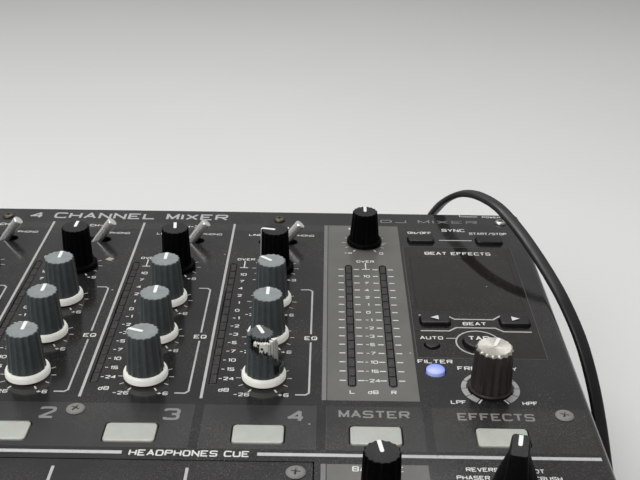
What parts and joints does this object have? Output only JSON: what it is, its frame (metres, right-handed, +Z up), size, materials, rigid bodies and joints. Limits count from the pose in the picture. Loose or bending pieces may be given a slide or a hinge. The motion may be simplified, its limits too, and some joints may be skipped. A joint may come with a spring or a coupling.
{
  "type": "dj mixer",
  "caption": "Tabletop DJ mixer: flat box with rotary channel controls, toggles, level meters, lit keys, slide faders, an effects strip, rear jacks and a mains lead.",
  "frame": {"origin": "middle of the case's footprint, on the surface its feet stand on", "axes": "+X to the mixer's right, +Y to its rear, +Z up"},
  "size_m": [0.429, 0.3943, 0.1094],
  "materials": {
    "panel_paint": "satin",
    "case_paint": "fine texture",
    "circuit_board": "satin",
    "shield_steel": "plated",
    "smoked_window": "gloss",
    "jack_metal": "nickel plated",
    "moulded_black": "moulded",
    "foot_rubber": "matte",
    "cord_jacket": "satin",
    "knob_black": "matte",
    "knob_grey": "soft touch",
    "knob_metallic": "metallic",
    "key_milky": "translucent",
    "key_black": "satin",
    "key_blue": "lit",
    "lever_chrome": "polished",
    "fader_cap": "satin"
  },
  "bodies": {
    "root": {"chassis_tray": "case_paint", "top_panel": "panel_paint", "fader_plate": "panel_paint", "rear_panel": "case_paint", "main_board": "circuit_board", "power_supply": "shield_steel", "display_window": "smoked_window", "jack_board": "jack_metal", "power_inlet": "moulded_black", "foot_front_left": "foot_rubber", "foot_front_right": "foot_rubber", "foot_rear_left": "foot_rubber", "foot_rear_right": "foot_rubber", "appliance_plug": "cord_jacket", "power_cord": "cord_jacket", "power_cord_coil": "cord_jacket", "mains_plug": "cord_jacket"},
    "trim_knob_1": {"trim_knob_1": "knob_black"},
    "eq_high_knob_1": {"eq_high_knob_1": "knob_grey"},
    "eq_mid_knob_1": {"eq_mid_knob_1": "knob_grey"},
    "eq_low_knob_1": {"eq_low_knob_1": "knob_grey"},
    "trim_knob_2": {"trim_knob_2": "knob_black"},
    "eq_high_knob_2": {"eq_high_knob_2": "knob_grey"},
    "eq_mid_knob_2": {"eq_mid_knob_2": "knob_grey"},
    "eq_low_knob_2": {"eq_low_knob_2": "knob_grey"},
    "trim_knob_3": {"trim_knob_3": "knob_black"},
    "eq_high_knob_3": {"eq_high_knob_3": "knob_grey"},
    "eq_mid_knob_3": {"eq_mid_knob_3": "knob_grey"},
    "eq_low_knob_3": {"eq_low_knob_3": "knob_grey"},
    "trim_knob_4": {"trim_knob_4": "knob_black"},
    "eq_high_knob_4": {"eq_high_knob_4": "knob_grey"},
    "eq_mid_knob_4": {"eq_mid_knob_4": "knob_grey"},
    "eq_low_knob_4": {"eq_low_knob_4": "knob_grey"},
    "input_lever_1": {"input_lever_1": "lever_chrome"},
    "input_lever_2": {"input_lever_2": "lever_chrome"},
    "input_lever_3": {"input_lever_3": "lever_chrome"},
    "input_lever_4": {"input_lever_4": "lever_chrome"},
    "cue_button_1": {"cue_button_1": "key_milky"},
    "cue_button_2": {"cue_button_2": "key_milky"},
    "cue_button_3": {"cue_button_3": "key_milky"},
    "cue_button_4": {"cue_button_4": "key_milky"},
    "cue_button_master": {"cue_button_master": "key_milky"},
    "cue_button_effects": {"cue_button_effects": "key_milky"},
    "channel_fader_1": {"channel_fader_1": "fader_cap"},
    "channel_fader_2": {"channel_fader_2": "fader_cap"},
    "channel_fader_3": {"channel_fader_3": "fader_cap"},
    "channel_fader_4": {"channel_fader_4": "fader_cap"},
    "crossfader": {"crossfader": "fader_cap"},
    "master_level_knob": {"master_level_knob": "knob_black"},
    "balance_knob": {"balance_knob": "knob_black"},
    "frequency_knob": {"frequency_knob": "knob_metallic"},
    "effect_selector_knob": {"effect_selector_knob": "knob_black"},
    "sync_button_left": {"sync_button_left": "key_black"},
    "sync_button_right": {"sync_button_right": "key_black"},
    "beat_button_left": {"beat_button_left": "key_black"},
    "beat_button_right": {"beat_button_right": "key_black"},
    "tap_button": {"tap_button": "key_black"},
    "auto_button": {"auto_button": "key_black"},
    "filter_button": {"filter_button": "key_blue"},
    "power_switch": {"power_switch": "key_black"}
  },
  "joints": [
    {"name": "trim_knob_1_turn", "type": "hinge", "parent": "root", "child": "trim_knob_1", "pos_m": [-0.0851, 0.1315, 0.089], "axis": [0, 0, 1], "range_deg": [-150, 150]},
    {"name": "eq_high_knob_1_turn", "type": "hinge", "parent": "root", "child": "eq_high_knob_1", "pos_m": [-0.0851, 0.1025, 0.089], "axis": [0, 0, 1], "range_deg": [-150, 150]},
    {"name": "eq_mid_knob_1_turn", "type": "hinge", "parent": "root", "child": "eq_mid_knob_1", "pos_m": [-0.0851, 0.0752, 0.089], "axis": [0, 0, 1], "range_deg": [-150, 150]},
    {"name": "eq_low_knob_1_turn", "type": "hinge", "parent": "root", "child": "eq_low_knob_1", "pos_m": [-0.0851, 0.0474, 0.089], "axis": [0, 0, 1], "range_deg": [-150, 150]},
    {"name": "trim_knob_2_turn", "type": "hinge", "parent": "root", "child": "trim_knob_2", "pos_m": [-0.0421, 0.1315, 0.089], "axis": [0, 0, 1], "range_deg": [-150, 150]},
    {"name": "eq_high_knob_2_turn", "type": "hinge", "parent": "root", "child": "eq_high_knob_2", "pos_m": [-0.0421, 0.1025, 0.089], "axis": [0, 0, 1], "range_deg": [-150, 150]},
    {"name": "eq_mid_knob_2_turn", "type": "hinge", "parent": "root", "child": "eq_mid_knob_2", "pos_m": [-0.0421, 0.0752, 0.089], "axis": [0, 0, 1], "range_deg": [-150, 150]},
    {"name": "eq_low_knob_2_turn", "type": "hinge", "parent": "root", "child": "eq_low_knob_2", "pos_m": [-0.0421, 0.0474, 0.089], "axis": [0, 0, 1], "range_deg": [-150, 150]},
    {"name": "trim_knob_3_turn", "type": "hinge", "parent": "root", "child": "trim_knob_3", "pos_m": [0.0009, 0.1315, 0.089], "axis": [0, 0, 1], "range_deg": [-157, 143]},
    {"name": "eq_high_knob_3_turn", "type": "hinge", "parent": "root", "child": "eq_high_knob_3", "pos_m": [0.0009, 0.1025, 0.089], "axis": [0, 0, 1], "range_deg": [-150, 150]},
    {"name": "eq_mid_knob_3_turn", "type": "hinge", "parent": "root", "child": "eq_mid_knob_3", "pos_m": [0.0009, 0.0752, 0.089], "axis": [0, 0, 1], "range_deg": [-150, 150]},
    {"name": "eq_low_knob_3_turn", "type": "hinge", "parent": "root", "child": "eq_low_knob_3", "pos_m": [0.0009, 0.0474, 0.089], "axis": [0, 0, 1], "range_deg": [-220, 80]},
    {"name": "trim_knob_4_turn", "type": "hinge", "parent": "root", "child": "trim_knob_4", "pos_m": [0.0439, 0.1315, 0.089], "axis": [0, 0, 1], "range_deg": [-228, 72]},
    {"name": "eq_high_knob_4_turn", "type": "hinge", "parent": "root", "child": "eq_high_knob_4", "pos_m": [0.0439, 0.1025, 0.089], "axis": [0, 0, 1], "range_deg": [-200, 100]},
    {"name": "eq_mid_knob_4_turn", "type": "hinge", "parent": "root", "child": "eq_mid_knob_4", "pos_m": [0.0439, 0.0752, 0.089], "axis": [0, 0, 1], "range_deg": [-150, 150]},
    {"name": "eq_low_knob_4_turn", "type": "hinge", "parent": "root", "child": "eq_low_knob_4", "pos_m": [0.0439, 0.0474, 0.089], "axis": [0, 0, 1], "range_deg": [-173, 127]},
    {"name": "input_lever_1_flip", "type": "hinge", "parent": "root", "child": "input_lever_1", "pos_m": [-0.0851, 0.1573, 0.0847], "axis": [0, 1, 0], "range_deg": [-77, 0]},
    {"name": "input_lever_2_flip", "type": "hinge", "parent": "root", "child": "input_lever_2", "pos_m": [-0.0421, 0.1573, 0.0847], "axis": [0, 1, 0], "range_deg": [-77, 0]},
    {"name": "input_lever_3_flip", "type": "hinge", "parent": "root", "child": "input_lever_3", "pos_m": [0.0009, 0.1573, 0.0847], "axis": [0, 1, 0], "range_deg": [-77, 0]},
    {"name": "input_lever_4_flip", "type": "hinge", "parent": "root", "child": "input_lever_4", "pos_m": [0.0439, 0.1573, 0.0847], "axis": [0, 1, 0], "range_deg": [-77, 0]},
    {"name": "cue_button_1_press", "type": "slide", "parent": "root", "child": "cue_button_1", "axis": [0, 0, 1], "range_m": [-0.0008, 0], "stiffness_N_per_m": 150, "springref_m": 0.001},
    {"name": "cue_button_2_press", "type": "slide", "parent": "root", "child": "cue_button_2", "axis": [0, 0, 1], "range_m": [-0.0008, 0], "stiffness_N_per_m": 150, "springref_m": 0.001},
    {"name": "cue_button_3_press", "type": "slide", "parent": "root", "child": "cue_button_3", "axis": [0, 0, 1], "range_m": [-0.0008, 0], "stiffness_N_per_m": 150, "springref_m": 0.001},
    {"name": "cue_button_4_press", "type": "slide", "parent": "root", "child": "cue_button_4", "axis": [0, 0, 1], "range_m": [-0.0008, 0], "stiffness_N_per_m": 150, "springref_m": 0.001},
    {"name": "cue_button_master_press", "type": "slide", "parent": "root", "child": "cue_button_master", "axis": [0, 0, 1], "range_m": [-0.0008, 0], "stiffness_N_per_m": 150, "springref_m": 0.001},
    {"name": "cue_button_effects_press", "type": "slide", "parent": "root", "child": "cue_button_effects", "axis": [0, 0, 1], "range_m": [-0.0008, 0], "stiffness_N_per_m": 150, "springref_m": 0.001},
    {"name": "channel_fader_1_slide", "type": "slide", "parent": "root", "child": "channel_fader_1", "axis": [0, 1, 0], "range_m": [0, 0.06]},
    {"name": "channel_fader_2_slide", "type": "slide", "parent": "root", "child": "channel_fader_2", "axis": [0, 1, 0], "range_m": [0, 0.06]},
    {"name": "channel_fader_3_slide", "type": "slide", "parent": "root", "child": "channel_fader_3", "axis": [0, 1, 0], "range_m": [0, 0.06]},
    {"name": "channel_fader_4_slide", "type": "slide", "parent": "root", "child": "channel_fader_4", "axis": [0, 1, 0], "range_m": [0, 0.06]},
    {"name": "crossfader_slide", "type": "slide", "parent": "root", "child": "crossfader", "axis": [1, 0, 0], "range_m": [-0.0225, 0.0225]},
    {"name": "master_level_knob_turn", "type": "hinge", "parent": "root", "child": "master_level_knob", "pos_m": [0.0835, 0.1575, 0.089], "axis": [0, 0, 1], "range_deg": [-150, 150]},
    {"name": "balance_knob_turn", "type": "hinge", "parent": "root", "child": "balance_knob", "pos_m": [0.0835, -0.0177, 0.089], "axis": [0, 0, 1], "range_deg": [-159, 141]},
    {"name": "frequency_knob_turn", "type": "hinge", "parent": "root", "child": "frequency_knob", "pos_m": [0.1258, 0.043, 0.089], "axis": [0, 0, 1], "range_deg": [-126.5, 173.5]},
    {"name": "effect_selector_knob_turn", "type": "hinge", "parent": "root", "child": "effect_selector_knob", "pos_m": [0.1253, -0.0141, 0.089], "axis": [0, 0, 1], "range_deg": [-122, 148]},
    {"name": "sync_button_left_press", "type": "slide", "parent": "root", "child": "sync_button_left", "axis": [0, 0, 1], "range_m": [-0.0008, 0], "stiffness_N_per_m": 150, "springref_m": 0.001},
    {"name": "sync_button_right_press", "type": "slide", "parent": "root", "child": "sync_button_right", "axis": [0, 0, 1], "range_m": [-0.0008, 0], "stiffness_N_per_m": 150, "springref_m": 0.001},
    {"name": "beat_button_left_press", "type": "slide", "parent": "root", "child": "beat_button_left", "axis": [0, 0, 1], "range_m": [-0.0008, 0], "stiffness_N_per_m": 150, "springref_m": 0.001},
    {"name": "beat_button_right_press", "type": "slide", "parent": "root", "child": "beat_button_right", "axis": [0, 0, 1], "range_m": [-0.0008, 0], "stiffness_N_per_m": 150, "springref_m": 0.001},
    {"name": "tap_button_press", "type": "slide", "parent": "root", "child": "tap_button", "axis": [0, 0, 1], "range_m": [-0.0008, 0], "stiffness_N_per_m": 150, "springref_m": 0.001},
    {"name": "auto_button_press", "type": "slide", "parent": "root", "child": "auto_button", "axis": [0, 0, 1], "range_m": [-0.0008, 0], "stiffness_N_per_m": 150, "springref_m": 0.001},
    {"name": "filter_button_press", "type": "slide", "parent": "root", "child": "filter_button", "axis": [0, 0, 1], "range_m": [-0.0008, 0], "stiffness_N_per_m": 150, "springref_m": 0.001},
    {"name": "power_switch_rock", "type": "hinge", "parent": "root", "child": "power_switch", "pos_m": [0.1308, 0.174, 0.056], "axis": [1, 0, 0], "range_deg": [-16, 0]}
  ]
}
